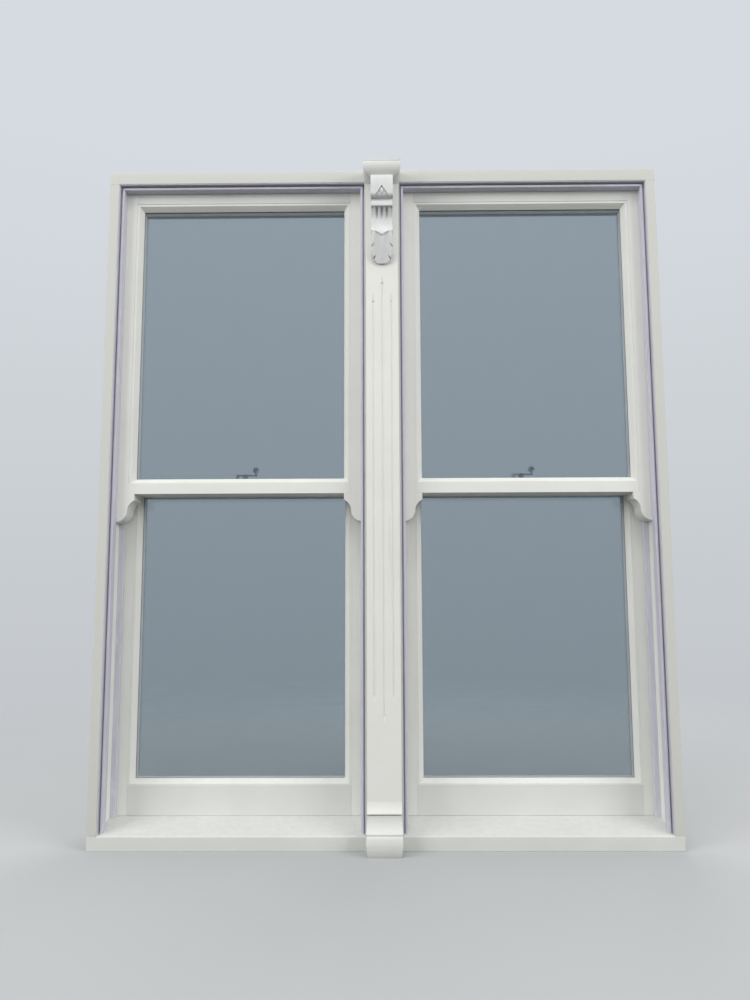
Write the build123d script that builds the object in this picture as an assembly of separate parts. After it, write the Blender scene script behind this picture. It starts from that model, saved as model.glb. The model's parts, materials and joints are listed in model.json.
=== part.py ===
from build123d import *
import math
import os

# Twin sliding sash window of painted timber. X runs across the window, +Y goes indoors and +Z is up.
# The origin is the middle of the sill's underside. All sizes are in millimetres.

# Frame as seen from outside
frame_width = 1400.0
frame_height = 1680.0
jamb_thickness = 23.0
head_thickness = 31.0
mullion_width = 88.0
arris_radius = 1.5

# Layers of the frame from the outer face inwards
lining_depth = 10.0
outer_bead_thickness = 22.0
sash_thickness = 55.0
channel_play = 2.0
parting_bead_thickness = 9.0
staff_bead_thickness = 18.0

# How far each bead stands into the opening
outer_bead_height = 11.0
outer_bead_nose = 2.0
outer_bead_groove = 4.0
outer_bead_groove_depth = 8.0
outer_bead_return = 1.5
outer_bead_setback = 1.5
parting_bead_height = 14.0
parting_bead_housing = 8.0
staff_bead_height = 14.0
staff_bead_round = 9.0

# Sill
sill_front_height = 34.0
sill_slope_angle = 11.0
sill_arris_radius = 3.0
sill_groove_width = 8.0
sill_groove_depth = 6.0
sill_groove_inset = 40.0

# Sash timber
stile_sight = 51.0
top_rail_sight = 52.0
bottom_rail_sight = 87.0
meeting_rail_sight = 39.0
meeting_height = 847.0
glazing_bead_width = 16.0
glazing_bead_depth = 16.0
glazing_bead_setback = 1.0
glazing_bead_face = 5.5
glazing_bead_splay_depth = 14.0
sash_side_gap = 3.0
sash_head_gap = 2.0
sash_sill_gap = 0.3
ovolo_radius = 7.0
ovolo_step = 1.0
tenon_length = 18.0
tenon_thickness = 16.0
tenon_shoulder = 4.0

# Meeting rails, which overlap on a bevel
meeting_gap = 0.5
meeting_bevel = 3.0
meeting_reach = 4.5
meeting_end_gap = 1.5

# Run-through horns of the upper sashes
horn_drop = 70.0
horn_step = 16.0
horn_cove_width = 17.6
horn_cove_height = 27.0
horn_nose_flat = 5.6

# Sealed glass units
pane_thickness = 4.0
unit_thickness = 24.0
unit_edge_gap = 3.0
spacer_showing = 0.5
spacer_width = 6.0

# Spiral balances
travel_stop = 61.0
tube_radius = 7.5
tube_bore_radius = 6.0
tube_neck_radius = 2.7
tube_neck_length = 10.0
tube_offset = 8.0
tube_head_gap = 9.0
tube_foot_width = 10.0
rod_radius = 2.4
rod_overlap = 32.0
shoe_height = 20.0
shoe_ledge = 14.0
shoe_side_gap = 1.0
tube_shoe_gap = 8.0
balance_groove_depth = 15.0
balance_groove_width = 18.0

# Pilaster on the mullion
pilaster_width = 81.5
pilaster_thickness = 20.0
pilaster_arris = 2.0
pilaster_flare_height = 27.0
pilaster_flare_depth = 8.0
pilaster_flare_sag = 1.6
flute_spacing = 22.8
flute_radius = 4.0
flute_depth = 2.4
flute_exit_angle = 7.0
flute_below_corbel = 47.0
flute_above_plinth = 228.0
flute_stagger = 47.5

# Plinth under the pilaster
plinth_height = 88.0
plinth_block_height = 45.0
plinth_reach = 48.0
plinth_toe_reach = 44.0
plinth_top_reach = 26.0
plinth_waist_reach = 40.0
plinth_groove = 2.5
plinth_spread = 1.5
plinth_toe_width = 78.5

# Moulded cap over the pilaster
cap_drop = 6.0
cap_height = 41.0
cap_width = 94.0
cap_reach = 48.0
cap_fascia = 4.0
cap_step = 1.0
cap_turn = 18.0

# Carved corbel below the cap
corbel_width = 55.5
corbel_band_width = 53.5
corbel_height = 213.5
corbel_block_height = 54.5
corbel_block_reach = 48.0
corbel_recess_height = 9.0
corbel_recess_reach = 33.0
corbel_band_height = 13.5
corbel_band_reach = 38.0
corbel_hollow_height = 59.0
corbel_hollow_reach = 20.0
corbel_lip_reach = 26.0
corbel_leaf_reach = 25.0
corbel_leaf_tip = 6.0
corbel_leaf_swell = 2.5
corbel_bracket_drop = 10.5
corbel_flute_count = 5
corbel_flute_pitch = 12.4
corbel_flute_radius = 3.7
corbel_flute_run = 32.0
corbel_petal_drop = 23.0
corbel_petal_depth = 2.5
corbel_petal_ridge = 3.0
corbel_petal_spread = 21.5
corbel_pendant_length = 18.0
corbel_pendant_width = 8.0
corbel_notch_depth = 12.0
corbel_notch_rise = 11.5
corbel_notch_gape = 5.0
corbel_low_notch_depth = 8.5
corbel_scoop_radius = 15.0
corbel_scoop_spacing = 25.0
corbel_scoop_depth = 2.6

# Fastener on the meeting rails
catch_offset = 3.5
catch_inset = 5.0
catch_plate_length = 56.0
catch_plate_width = 20.0
catch_plate_thickness = 2.5
catch_boss_radius = 6.5
catch_boss_height = 10.5
catch_pin_radius = 3.0
catch_pin_clearance = 0.05
catch_head_radius = 4.6
catch_head_height = 1.6
catch_hub_radius = 7.5
catch_hub_height = 7.0
catch_gap = 0.3
catch_chamfer = 0.7
keep_distance = 17.0
keep_post_radius = 2.5
keep_post_height = 10.0
keep_plate_length = 34.0
keep_plate_width = 10.0
cam_gap = 1.5
cam_thickness = 3.5
cam_half_angle = 35.0
cam_floor_gap = 3.0
lever_thickness = 3.5
lever_width = 8.0
knob_radius = 8.6
knob_rise = 30.0
knob_distance = 27.0
stem_radius = 2.6

# Hook lifts on the inside of the lower sashes
lift_plate_width = 42.0
lift_plate_height = 34.0
lift_plate_thickness = 3.0
lift_hook_width = 26.0
lift_hook_radius = 12.0
lift_hook_thickness = 4.0
lift_hook_rise = 18.7
lift_hook_tip = 20.0
lift_heel_drop = 1.0
lift_heel_height = 8.0
lift_plate_corner = 5.0
lift_gap = 14.0

# Frame fixing holes through the jambs
fixing_hole_radius = 4.25
fixing_inset = 9.0
fixing_count = 4
fixing_lowest = 200.0
fixing_below_head = 159.0

# Places worked out from the sizes above
front = -(lining_depth + outer_bead_thickness + 2 * (sash_thickness + channel_play)
          + parting_bead_thickness + staff_bead_thickness) / 2
back = -front
outer_bead_front = front + lining_depth
outer_channel = outer_bead_front + outer_bead_thickness
parting_front = outer_channel + sash_thickness + channel_play
inner_channel = parting_front + parting_bead_thickness
staff_front = inner_channel + sash_thickness + channel_play
upper_sash_front = outer_channel + channel_play / 2
lower_sash_front = inner_channel + channel_play / 2
pulley_outer = frame_width / 2 - jamb_thickness
pulley_inner = mullion_width / 2
head_underside = frame_height - head_thickness
rebate_depth = glazing_bead_depth + unit_thickness
sill_rise = math.tan(math.radians(sill_slope_angle))
sill_flat_height = sill_front_height + (staff_front - front) * sill_rise
meeting_top = meeting_height + meeting_rail_sight
cap_top = frame_height - cap_drop
cap_foot = cap_top - cap_height
tube_top = head_underside - tube_head_gap
travel = head_underside - sash_head_gap - meeting_top - travel_stop
rod_length = travel + tube_shoe_gap + rod_overlap


def place(value, side):
    """Mirrors a coordinate measured from the middle to the left (-1) or right (+1)."""
    return side * value


def prism_along_x(outline, x_low, x_high):
    """Extrudes an outline of (y, z) points from x_low to x_high."""
    face = Plane.YZ * make_face(outline)
    return Pos(x_low, 0, 0) * extrude(face, x_high - x_low)


def prism_along_y(outline, y_low, y_high):
    """Extrudes an outline of (x, z) points from y_low to y_high."""
    face = Plane.XZ * make_face(outline)
    return Pos(0, y_high, 0) * extrude(face, y_high - y_low)


def prism_along_z(outline, z_low, z_high):
    """Extrudes an outline of (x, y) points from z_low to z_high."""
    return Pos(0, 0, z_low) * extrude(make_face(outline), z_high - z_low)


def block(x_low, x_high, y_low, y_high, z_low, z_high):
    """A rectangular block given by its corners."""
    size = (x_high - x_low, y_high - y_low, z_high - z_low)
    center = ((x_low + x_high) / 2, (y_low + y_high) / 2, (z_low + z_high) / 2)
    return Pos(*center) * Box(*size)


def closed(points):
    """Closed outline of straight lines; a point's third value rounds its corner."""
    radii = [point[2] if len(point) > 2 else 0 for point in points]
    corners = [(point[0], point[1]) for point in points]
    return FilletPolyline(*corners, radius=radii, close=True)


def rod(x, y, z_low, z_high, radius):
    """An upright round bar."""
    return Pos(x, y, z_low) * extrude(Circle(radius), z_high - z_low)


def save(shape, name):
    """Writes one node to its own file."""
    export_step(shape, os.path.join("parts", name + ".step"))


def save_group(solids, name):
    """Writes several loose solids as one node."""
    save(Compound(children=list(solids)), name)


def rim(x_low, x_high, z_low, z_high, depth, section, width, sides):
    """Mitred lengths of one moulding round an opening. section(u, v) maps distances into the opening and
    indoors to points, and each length is cut to the mitre lines at its ends."""
    far = 2 * width
    mitre = {
        "left": [(x_low, z_low), (x_low + far, z_low + far), (x_low + far, z_high - far), (x_low, z_high)],
        "right": [(x_high, z_low), (x_high - far, z_low + far), (x_high - far, z_high - far),
                  (x_high, z_high)],
        "top": [(x_low, z_high), (x_low + far, z_high - far), (x_high - far, z_high - far), (x_high, z_high)],
        "bottom": [(x_low, z_low), (x_low + far, z_low + far), (x_high - far, z_low + far), (x_high, z_low)],
    }
    pieces = []
    for side in sides:
        if side == "left":
            bar = prism_along_z(section(lambda u, v: (x_low + u, depth + v)), z_low, z_high)
        elif side == "right":
            bar = prism_along_z(section(lambda u, v: (x_high - u, depth + v)), z_low, z_high)
        elif side == "top":
            bar = prism_along_x(section(lambda u, v: (depth + v, z_high - u)), x_low, x_high)
        else:
            bar = prism_along_x(section(lambda u, v: (depth + v, z_low + u)), x_low, x_high)
        cutter = prism_along_y(closed(mitre[side]), depth - far, depth + 4 * far)
        pieces.append(bar & cutter)
    return pieces


# Frame

def sill_section(front_radius):
    """The sill's outline: front edge, weathered slope and the flat that carries the staff bead."""
    return closed([
        (front, 0),
        (front, sill_front_height, front_radius),
        (staff_front, sill_flat_height),
        (back, sill_flat_height, arris_radius),
        (back, 0),
    ])


def across_frame(section, front_radius):
    """A member as wide as the frame, with its front arris eased only between the jambs."""
    half = frame_width / 2
    middle = prism_along_x(section(front_radius), -pulley_outer, pulley_outer)
    left = prism_along_x(section(0), -half, -pulley_outer)
    right = prism_along_x(section(0), pulley_outer, half)
    return middle + left + right


def make_sill():
    sill = across_frame(sill_section, sill_arris_radius)
    groove_front = front + sill_groove_inset
    groove = block(-frame_width, frame_width, groove_front, groove_front + sill_groove_width,
                   0, sill_groove_depth)
    return sill - groove


def sill_space(raise_by=0.0):
    """Everything under the sill's upper surface, to cut what stands on it."""
    far = 2 * frame_depth()
    outline = closed([
        (front - far, -far),
        (front - far, sill_front_height + raise_by - far * sill_rise),
        (staff_front, sill_flat_height + raise_by),
        (back + far, sill_flat_height + raise_by),
        (back + far, -far),
    ])
    return prism_along_x(outline, -frame_width, frame_width)


def frame_depth():
    return back - front


def head_section(front_radius):
    """The head's outline, housed for the parting bead."""
    return closed([
        (front, head_underside, front_radius),
        (parting_front, head_underside),
        (parting_front, head_underside + parting_bead_housing),
        (inner_channel, head_underside + parting_bead_housing),
        (inner_channel, head_underside),
        (back, head_underside),
        (back, frame_height),
        (front, frame_height, arris_radius),
    ])


def upright_section(x_face, side, x_far, front_radius):
    """Outline of a jamb or half a mullion. x_face is the sliding face, housed for the parting bead."""
    housing = x_face + side * parting_bead_housing
    return closed([
        (x_far, front),
        (x_face, front, front_radius),
        (x_face, parting_front),
        (housing, parting_front),
        (housing, inner_channel),
        (x_face, inner_channel),
        (x_face, back),
        (x_far, back),
    ])


def make_jamb(side):
    outline = upright_section(place(pulley_outer, side), side, place(frame_width / 2, side), arris_radius)
    jamb = prism_along_z(outline, 0, head_underside) - sill_space()
    spacing = (head_underside - fixing_below_head - fixing_lowest) / (fixing_count - 1)
    for index in range(fixing_count):
        height = fixing_lowest + index * spacing
        hole = Pos(place(pulley_outer, side), inner_channel + fixing_inset, height)
        jamb -= hole * Rot(0, 90, 0) * Cylinder(fixing_hole_radius, 4 * jamb_thickness)
    return jamb


def make_mullion():
    halves = []
    for side in (-1, 1):
        outline = upright_section(place(pulley_inner, side), -side, 0, 0)
        halves.append(prism_along_z(outline, 0, head_underside))
    return (halves[0] + halves[1]) - sill_space()


# Beads round each light

def light_edges(side):
    """The sliding faces at the low and high X of one light."""
    edges = sorted((place(pulley_inner, side), place(pulley_outer, side)))
    return edges[0], edges[1]


def outer_bead_section(at):
    """A return lines the edge of the lining, a groove parts it from the nose, and the nose holds the upper
    sash."""
    groove_side = outer_bead_return + outer_bead_groove
    return closed([
        (*at(0, outer_bead_setback - lining_depth),),
        (*at(outer_bead_return, outer_bead_setback - lining_depth),),
        (*at(outer_bead_return, outer_bead_groove_depth),),
        (*at(groove_side, outer_bead_groove_depth),),
        (*at(groove_side, 0),),
        (*at(outer_bead_height, 0), outer_bead_nose),
        (*at(outer_bead_height, outer_bead_thickness),),
        (*at(0, outer_bead_thickness),),
    ])


def parting_bead_section(at):
    inner = parting_bead_housing + parting_bead_height
    return closed([
        (*at(0, 0),),
        (*at(inner, 0), arris_radius),
        (*at(inner, parting_bead_thickness), arris_radius),
        (*at(0, parting_bead_thickness),),
    ])


def staff_bead_section(at):
    return closed([
        (*at(0, 0),),
        (*at(staff_bead_height, 0), arris_radius / 2),
        (*at(staff_bead_height, staff_bead_thickness), staff_bead_round),
        (*at(0, staff_bead_thickness),),
    ])


def make_beads(side, name):
    x_low, x_high = light_edges(side)
    below = sill_space()
    outer = rim(x_low, x_high, 0, head_underside, outer_bead_front,
                outer_bead_section, outer_bead_height, ("left", "right", "top"))
    save_group([piece - below for piece in outer], name + "_outer_beads")
    housing = parting_bead_housing
    parting = rim(x_low - housing, x_high + housing, 0, head_underside + housing, parting_front,
                  parting_bead_section, housing + parting_bead_height, ("left", "right", "top"))
    save_group([piece - below for piece in parting], name + "_parting_beads")
    staff = rim(x_low, x_high, sill_flat_height, head_underside, staff_front,
                staff_bead_section, staff_bead_height, ("left", "right", "top", "bottom"))
    save_group(staff, name + "_staff_beads")


# Sashes

def member_outline(sight, at, moulded=True):
    """Section of a rebated sash member. at(u, t) gives a point from the distance to the sash's edge and the
    depth from its outer face."""
    face = sight - glazing_bead_width
    if not moulded:
        return closed([
            at(0, 0), at(face, 0), at(face, rebate_depth), at(sight, rebate_depth),
            at(sight, sash_thickness), at(0, sash_thickness),
        ])
    depth = sash_thickness - ovolo_step
    shoulder = sight - ovolo_step
    turn = math.sin(math.radians(45)) * ovolo_radius
    start = at(shoulder, depth - ovolo_radius)
    middle = at(shoulder - ovolo_radius + turn, depth - ovolo_radius + turn)
    end = at(shoulder - ovolo_radius, depth)
    lines = Polyline(
        end, at(shoulder - ovolo_radius, sash_thickness), at(0, sash_thickness), at(0, 0), at(face, 0),
        at(face, rebate_depth), at(sight, rebate_depth), at(sight, depth - ovolo_radius), start,
    )
    return lines + ThreePointArc(start, middle, end)


def glazing_bead_section(at):
    """A narrow face set back from the sash, and a splay towards the glass."""
    return closed([
        (*at(0, glazing_bead_setback),),
        (*at(glazing_bead_face, glazing_bead_setback), arris_radius),
        (*at(glazing_bead_width, glazing_bead_splay_depth),),
        (*at(glazing_bead_width, glazing_bead_depth),),
        (*at(0, glazing_bead_depth),),
    ])


def cavity_ring(x_low, x_high, y_low, y_high, z_low, z_high, width):
    """A rectangular ring between the panes of a sealed unit."""
    ring = block(x_low, x_high, y_low, y_high, z_low, z_high)
    return ring - block(x_low + width, x_high - width, y_low, y_high, z_low + width, z_high - width)


def horn_outline(x_edge, inward, z_rail):
    """Ogee horn below a stile: a step, a cove and a rounded nose."""
    def at(u, drop):
        return (x_edge + inward * u, z_rail - drop)

    cove_end = (stile_sight - horn_cove_width, horn_step + horn_cove_height)
    cove_middle = (stile_sight - 0.72 * horn_cove_width, horn_step + 0.38 * horn_cove_height)
    nose_width = cove_end[0] - horn_nose_flat
    nose_drop = horn_drop - cove_end[1]
    nose_middle = (horn_nose_flat + 0.74 * nose_width, cove_end[1] + 0.66 * nose_drop)
    cove = ThreePointArc(at(stile_sight, horn_step), at(*cove_middle), at(*cove_end))
    nose = ThreePointArc(at(*cove_end), at(*nose_middle), at(horn_nose_flat, horn_drop))
    rest = Polyline(at(horn_nose_flat, horn_drop), at(0, horn_drop), at(0, 0), at(stile_sight, 0),
                    at(stile_sight, horn_step))
    return rest + cove + nose


def tenon(x_edge, inward, y_front, z_middle, height):
    """The tenon that joins a rail to a stile, and the mortise it fills."""
    ends = sorted((x_edge + inward * (stile_sight - glazing_bead_width - tenon_length),
                   x_edge + inward * (stile_sight - glazing_bead_width)))
    middle = y_front + sash_thickness / 2
    return block(ends[0], ends[1], middle - tenon_thickness / 2, middle + tenon_thickness / 2,
                 z_middle - height / 2, z_middle + height / 2)


def shoe_level(z_low):
    """Height of the ledge that a balance shoe stands on."""
    return z_low + shoe_ledge


def make_stile(x_edge, inward, y_front, z_low, z_high, horned, tenons):
    outline = member_outline(stile_sight, lambda u, t: (x_edge + inward * u, y_front + t))
    stile = prism_along_z(outline, z_low, z_high)
    if horned:
        horn = prism_along_y(horn_outline(x_edge, inward, z_low), y_front, y_front + sash_thickness)
        stile += horn
    else:
        stile -= sill_space(sash_sill_gap)
    groove_ends = sorted((x_edge, x_edge + inward * balance_groove_depth))
    groove_middle = y_front + sash_thickness / 2
    stile -= block(groove_ends[0], groove_ends[1],
                   groove_middle - balance_groove_width / 2, groove_middle + balance_groove_width / 2,
                   shoe_level(z_low), z_high)
    for piece in tenons:
        stile -= piece
    return stile


def make_sash(name, side, upper):
    """Builds one sash: two stiles, two rails, glazing beads, the glass unit and the balance rods."""
    x_low, x_high = light_edges(side)
    x_low += sash_side_gap
    x_high -= sash_side_gap
    y_front = upper_sash_front if upper else lower_sash_front
    if upper:
        z_low, z_high = meeting_height, head_underside - sash_head_gap
        low_sight, high_sight = meeting_rail_sight, top_rail_sight
    else:
        z_low = sill_front_height + (y_front - front) * sill_rise + sash_sill_gap
        z_high = meeting_top
        low_sight, high_sight = bottom_rail_sight, meeting_rail_sight
    face = stile_sight - glazing_bead_width
    low_face = low_sight - glazing_bead_width
    high_face = high_sight - glazing_bead_width

    # Rails with their tenons
    heights = {"low": low_face - 2 * tenon_shoulder, "high": high_face - 2 * tenon_shoulder}
    middles = {"low": z_low + low_face / 2, "high": z_high - high_face / 2}
    if not upper:
        heights["low"] -= 2 * tenon_shoulder
        middles["low"] += tenon_shoulder
    tenons = {
        level: [tenon(x_low, 1, y_front, middles[level], heights[level]),
                tenon(x_high, -1, y_front, middles[level], heights[level])]
        for level in ("low", "high")
    }
    left = make_stile(x_low, 1, y_front, z_low, z_high, upper, [tenons["low"][0], tenons["high"][0]])
    right = make_stile(x_high, -1, y_front, z_low, z_high, upper, [tenons["low"][1], tenons["high"][1]])

    low_outline = member_outline(low_sight, lambda u, t: (y_front + t, z_low + u), moulded=not upper)
    high_outline = member_outline(high_sight, lambda u, t: (y_front + t, z_high - u), moulded=upper)
    low_rail = prism_along_x(low_outline, x_low + face, x_high - face) - left - right
    high_rail = prism_along_x(high_outline, x_low + face, x_high - face) - left - right
    if not upper:
        low_rail -= sill_space(sash_sill_gap)
    strip_start = parting_bead_height - sash_side_gap + meeting_end_gap
    if upper:
        base = y_front + sash_thickness
        strip = closed([
            (base, z_low), (base + meeting_reach + meeting_bevel, z_low),
            (base + meeting_reach, z_low + low_sight), (base, z_low + low_sight),
        ])
        low_rail += prism_along_x(strip, x_low + strip_start, x_high - strip_start)
    else:
        reach = lower_sash_front - upper_sash_front - sash_thickness - meeting_reach - meeting_gap
        taper = meeting_bevel * high_face / meeting_rail_sight
        strip = closed([
            (y_front, z_high), (y_front - reach, z_high),
            (y_front - reach + taper, z_high - high_face), (y_front, z_high - high_face),
        ])
        high_rail += prism_along_x(strip, x_low + strip_start, x_high - strip_start)
    low_rail += tenons["low"][0] + tenons["low"][1]
    high_rail += tenons["high"][0] + tenons["high"][1]
    save(left, name + "_left_stile")
    save(right, name + "_right_stile")
    save(low_rail, name + ("_meeting_rail" if upper else "_bottom_rail"))
    save(high_rail, name + ("_top_rail" if upper else "_meeting_rail"))

    # Glazing beads, mitred round the glass
    beads = rim(x_low + face, x_high - face, z_low + low_face, z_high - high_face, y_front,
                glazing_bead_section, glazing_bead_width, ("left", "right", "top", "bottom"))
    save_group(beads, name + "_glazing_beads")

    # Sealed unit: two panes on a spacer, with sealant round it
    edge = face + unit_edge_gap
    low_edge = z_low + low_face + unit_edge_gap
    high_edge = z_high - high_face - unit_edge_gap
    outer_glass = y_front + glazing_bead_depth
    inner_glass = outer_glass + unit_thickness - pane_thickness
    panes = [
        block(x_low + edge, x_high - edge, depth, depth + pane_thickness, low_edge, high_edge)
        for depth in (outer_glass, inner_glass)
    ]
    save_group(panes, name + "_glass")
    sealant_width = glazing_bead_width - unit_edge_gap + spacer_showing - spacer_width
    for part, inset, width in (("sealant", 0, sealant_width), ("spacer", sealant_width, spacer_width)):
        ring = cavity_ring(x_low + edge + inset, x_high - edge - inset,
                           outer_glass + pane_thickness, inner_glass,
                           low_edge + inset, high_edge - inset, width)
        save(ring, name + "_" + part)

    # Balance rods, each with the shoe that carries the sash
    rods = []
    for x_edge, inward in ((x_low, 1), (x_high, -1)):
        rods.append(balance_rod(x_edge, inward, y_front + sash_thickness / 2, shoe_level(z_low)))
    save_group(rods, name + "_balance_rods")


# Spiral balances

def balance_rod(x_edge, inward, y_middle, z_low):
    axis_x = x_edge + inward * (tube_offset - sash_side_gap)
    ends = sorted((x_edge + inward * shoe_side_gap, x_edge + inward * balance_groove_depth))
    half_width = balance_groove_width / 2 - shoe_side_gap
    shoe = block(ends[0], ends[1], y_middle - half_width, y_middle + half_width, z_low, z_low + shoe_height)
    return shoe + rod(axis_x, y_middle, z_low + shoe_height / 2, z_low + shoe_height + rod_length, rod_radius)


def balance_tube(x_face, inward, y_middle, z_low):
    """Tube with a necked lower end, screwed to the sliding face by a foot at the top."""
    profile = closed([
        (tube_neck_radius, z_low), (tube_radius, z_low), (tube_radius, tube_top),
        (0, tube_top), (0, tube_top - tube_neck_length), (tube_bore_radius, tube_top - tube_neck_length),
        (tube_bore_radius, z_low + tube_neck_length), (tube_neck_radius, z_low + tube_neck_length),
    ])
    tube = revolve(Plane.XZ * make_face(profile), Axis.Z)
    tube = Pos(x_face + inward * tube_offset, y_middle, 0) * tube
    ends = sorted((x_face, x_face + inward * tube_offset))
    half = tube_foot_width / 2
    foot_low = tube_top - tube_neck_length
    foot = block(ends[0], ends[1], y_middle - half, y_middle + half, foot_low, foot_low + tube_neck_length)
    return tube + foot


def make_balance_tubes(side):
    x_low, x_high = light_edges(side)
    upper_low = shoe_level(meeting_height) + shoe_height + tube_shoe_gap
    lower_rest = shoe_level(sill_front_height + (lower_sash_front - front) * sill_rise + sash_sill_gap)
    lower_low = lower_rest + shoe_height + travel + tube_shoe_gap
    tubes = []
    for x_face, inward in ((x_low, 1), (x_high, -1)):
        tubes.append(balance_tube(x_face, inward, upper_sash_front + sash_thickness / 2, upper_low))
        tubes.append(balance_tube(x_face, inward, lower_sash_front + sash_thickness / 2, lower_low))
    return tubes


# Pilaster, plinth, cap and corbel

def stopped_flute(x, z_low, z_high):
    """A shallow round-bottomed flute that runs out of the pilaster's face at both ends."""
    face_y = front - pilaster_thickness
    center_y = face_y + flute_depth - flute_radius
    exit_length = 2 * flute_depth / math.sin(math.radians(flute_exit_angle))
    cutter = rod(x, center_y, z_low, z_high, flute_radius)
    for z, turn in ((z_low, -1), (z_high, 1)):
        tail = rod(0, 0, 0, exit_length, flute_radius)
        heading = 90 - turn * 90
        cutter += Pos(x, center_y, z) * Rot(turn * flute_exit_angle + heading, 0, 0) * tail
    return cutter


def make_pilaster():
    half = pilaster_width / 2
    face_y = front - pilaster_thickness
    outline = closed([
        (-half, front), (-half, face_y, pilaster_arris), (half, face_y, pilaster_arris), (half, front),
    ])
    bottom = plinth_height + plinth_groove
    shaft = prism_along_z(outline, bottom, cap_foot)
    flare_top = bottom + pilaster_flare_height
    flare_y = face_y - pilaster_flare_depth
    cove = ThreePointArc(
        (face_y, flare_top),
        (face_y - pilaster_flare_depth / 2 + pilaster_flare_sag, (flare_top + bottom + plinth_groove) / 2),
        (flare_y, bottom + plinth_groove),
    )
    side = Polyline((flare_y, bottom + plinth_groove), (flare_y, bottom), (front, bottom), (front, flare_top),
                    (face_y, flare_top))
    flare = prism_along_x(side + cove, -half, half)
    pilaster = shaft + flare
    for index in (-1, 0, 1):
        stagger = abs(index) * flute_stagger
        low = plinth_height + flute_above_plinth + stagger
        high = cap_foot - corbel_height - flute_below_corbel - stagger
        pilaster -= stopped_flute(index * flute_spacing, low, high)
    return pilaster


def make_plinth():
    """Two curved blocks under the pilaster, cut from a side profile and a front profile."""
    waist = plinth_block_height + plinth_groove
    side = (
        Polyline((front, 0), (front, plinth_height), (front - plinth_top_reach, plinth_height))
        + ThreePointArc(
            (front - plinth_top_reach, plinth_height),
            (front - plinth_top_reach - 4.5, plinth_height - 24),
            (front - plinth_waist_reach, waist + plinth_groove),
        )
        + Polyline(
            (front - plinth_waist_reach, waist + plinth_groove),
            (front - plinth_waist_reach, waist),
            (front - plinth_waist_reach + plinth_groove, waist - plinth_groove / 2),
            (front - plinth_waist_reach, plinth_block_height - plinth_groove / 2),
            (front - plinth_reach + plinth_groove, plinth_block_height - plinth_groove),
        )
        + ThreePointArc(
            (front - plinth_reach + plinth_groove, plinth_block_height - plinth_groove),
            (front - plinth_reach, 0.6 * plinth_block_height),
            (front - plinth_toe_reach, 0),
        )
        + Line((front - plinth_toe_reach, 0), (front, 0))
    )
    half = pilaster_width / 2
    wide = half + plinth_spread
    toe = plinth_toe_width / 2
    right = [
        (toe, 0), (wide, 0.6 * plinth_block_height, 20), (wide, plinth_block_height - plinth_groove),
        (half, plinth_block_height), (half, waist), (wide, waist + plinth_groove),
        (half, plinth_height - plinth_groove, 30), (half, plinth_height),
    ]
    left = [(-point[0], *point[1:]) for point in reversed(right)]
    outline = closed(right + left)
    return prism_along_x(side, -wide, wide) & prism_along_y(outline, front - plinth_reach, front)


def make_cap():
    """Three-sided cap: a thin fascia over a bold round that turns under, returned at both ends."""
    face_y = front - pilaster_thickness
    fascia_low = cap_top - cap_fascia

    def profile(outer, root, at):
        step = outer - cap_step
        lines = Polyline(at(root, cap_foot), at(root, cap_top), at(outer, cap_top), at(outer, fascia_low),
                         at(step, fascia_low))
        turn_middle = at(step - 0.25 * cap_turn, cap_foot + 0.27 * cap_height)
        turn = ThreePointArc(at(step, fascia_low), turn_middle, at(step - cap_turn, cap_foot))
        return lines + turn + Line(at(step - cap_turn, cap_foot), at(root, cap_foot))

    side = profile(cap_reach, -pilaster_thickness, lambda p, z: (face_y - p, z))
    half = prism_along_y(profile(cap_width / 2, 0, lambda p, z: (p, z)), face_y - cap_reach, front)
    return prism_along_x(side, -cap_width, cap_width) & (half + mirror(half, Plane.YZ))


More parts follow.
